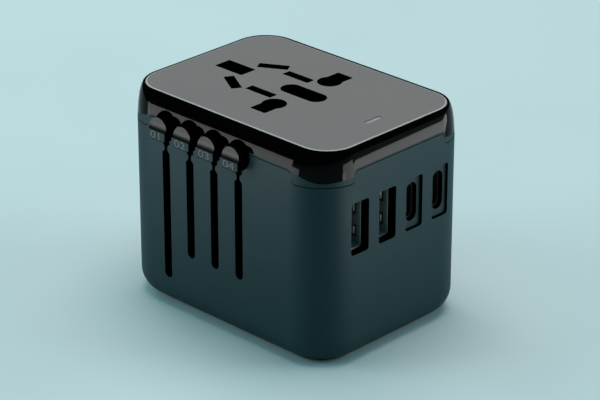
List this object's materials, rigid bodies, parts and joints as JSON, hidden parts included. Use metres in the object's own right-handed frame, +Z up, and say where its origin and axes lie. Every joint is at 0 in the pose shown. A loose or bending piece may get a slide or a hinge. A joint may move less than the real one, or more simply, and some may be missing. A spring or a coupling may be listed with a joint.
{
  "type": "travel adapter",
  "caption": "Rounded block travel adapter with a many-standard socket on top, side ports and slides that push folding-in plug pins out of the base.",
  "frame": {"origin": "centre of the base, on the surface it stands on", "axes": "+Z up to the socket face, -Y towards the face with the slides, +X towards the face with the ports"},
  "size_m": [0.0672, 0.0538, 0.0537],
  "materials": {
    "body_teal": "satin",
    "crown_black": "gloss",
    "plate_grey": "satin",
    "led_window": "frosted",
    "base_dark": "satin",
    "screw_steel": "plain",
    "inner_black": "moulded",
    "contact_brass": "plain",
    "knob_teal": "satin",
    "spring_steel": "plain",
    "pin_plating": "nickel plated",
    "port_metal": "nickel plated",
    "board_green": "lacquered",
    "wound_core": "taped",
    "can_aluminium": "sleeved",
    "fuse_ceramic": "glazed"
  },
  "bodies": {
    "housing": {"base_plate": "base_dark", "base_screws": "screw_steel", "busbar_live": "contact_brass", "busbar_neutral": "contact_brass", "capacitors": "can_aluminium", "crown": "crown_black", "earth_contact": "contact_brass", "fuse": "fuse_ceramic", "fuse_clips": "contact_brass", "led_window": "led_window", "live_contact": "contact_brass", "lower_shell": "body_teal", "neutral_contact": "contact_brass", "port_frame": "inner_black", "power_board": "board_green", "slide_frame": "inner_black", "socket_core": "inner_black", "top_plate": "plate_grey", "transformer": "wound_core", "upper_ring": "body_teal", "usb_a_shell_1": "port_metal", "usb_a_shell_2": "port_metal", "usb_a_tongue_1": "inner_black", "usb_a_tongue_2": "inner_black", "usb_board": "board_green", "usb_c_insert_1": "body_teal", "usb_c_insert_2": "body_teal", "usb_c_shell_1": "port_metal", "usb_c_shell_2": "port_metal", "usb_c_tongue_1": "inner_black", "usb_c_tongue_2": "inner_black"},
    "slide_c": {"carriage_c": "inner_black", "pin_c_1": "pin_plating", "pin_c_2": "pin_plating", "knob_spring_1": "spring_steel"},
    "button_1": {"knob_1": "crown_black", "knob_cap_1": "knob_teal"},
    "slide_i": {"carriage_i": "inner_black", "blade_i_1": "pin_plating", "blade_i_2": "pin_plating", "knob_spring_2": "spring_steel"},
    "button_2": {"knob_2": "crown_black", "knob_cap_2": "knob_teal"},
    "slide_a": {"carriage_a": "inner_black", "blade_a_1": "pin_plating", "blade_a_2": "pin_plating", "knob_spring_3": "spring_steel"},
    "button_3": {"knob_3": "crown_black", "knob_cap_3": "knob_teal"},
    "slide_g": {"carriage_g": "inner_black", "pin_g_1": "pin_plating", "pin_g_2": "pin_plating", "pin_g_earth": "pin_plating", "knob_spring_4": "spring_steel"},
    "button_4": {"knob_4": "crown_black", "knob_cap_4": "knob_teal"},
    "shutter_gate_1": {"shutter_1": "inner_black"},
    "shutter_gate_2": {"shutter_2": "inner_black"}
  },
  "joints": [
    {"name": "slide_c_travel", "type": "slide", "parent": "housing", "child": "slide_c", "axis": [0, 0, -1], "range_m": [0, 0.032]},
    {"name": "button_1_press", "type": "slide", "parent": "slide_c", "child": "button_1", "axis": [0, 1, 0], "range_m": [0, 0.0008], "stiffness_N_per_m": 1500, "deforming": ["knob_spring_1"]},
    {"name": "slide_i_travel", "type": "slide", "parent": "housing", "child": "slide_i", "axis": [0, 0, -1], "range_m": [0, 0.0245]},
    {"name": "button_2_press", "type": "slide", "parent": "slide_i", "child": "button_2", "axis": [0, 1, 0], "range_m": [0, 0.0008], "stiffness_N_per_m": 1500, "deforming": ["knob_spring_2"]},
    {"name": "slide_a_travel", "type": "slide", "parent": "housing", "child": "slide_a", "axis": [0, 0, -1], "range_m": [0, 0.0245]},
    {"name": "button_3_press", "type": "slide", "parent": "slide_a", "child": "button_3", "axis": [0, 1, 0], "range_m": [0, 0.0008], "stiffness_N_per_m": 1500, "deforming": ["knob_spring_3"]},
    {"name": "slide_g_travel", "type": "slide", "parent": "housing", "child": "slide_g", "axis": [0, 0, -1], "range_m": [0, 0.0245]},
    {"name": "button_4_press", "type": "slide", "parent": "slide_g", "child": "button_4", "axis": [0, 1, 0], "range_m": [0, 0.0008], "stiffness_N_per_m": 1500, "deforming": ["knob_spring_4"]},
    {"name": "shutter_1_open", "type": "slide", "parent": "housing", "child": "shutter_gate_1", "axis": [1, 0, 0], "range_m": [0, 0.0054], "stiffness_N_per_m": 150, "springref_m": -0.002},
    {"name": "shutter_2_open", "type": "slide", "parent": "housing", "child": "shutter_gate_2", "axis": [1, 0, 0], "range_m": [0, 0.0054], "stiffness_N_per_m": 150, "springref_m": -0.002}
  ]
}
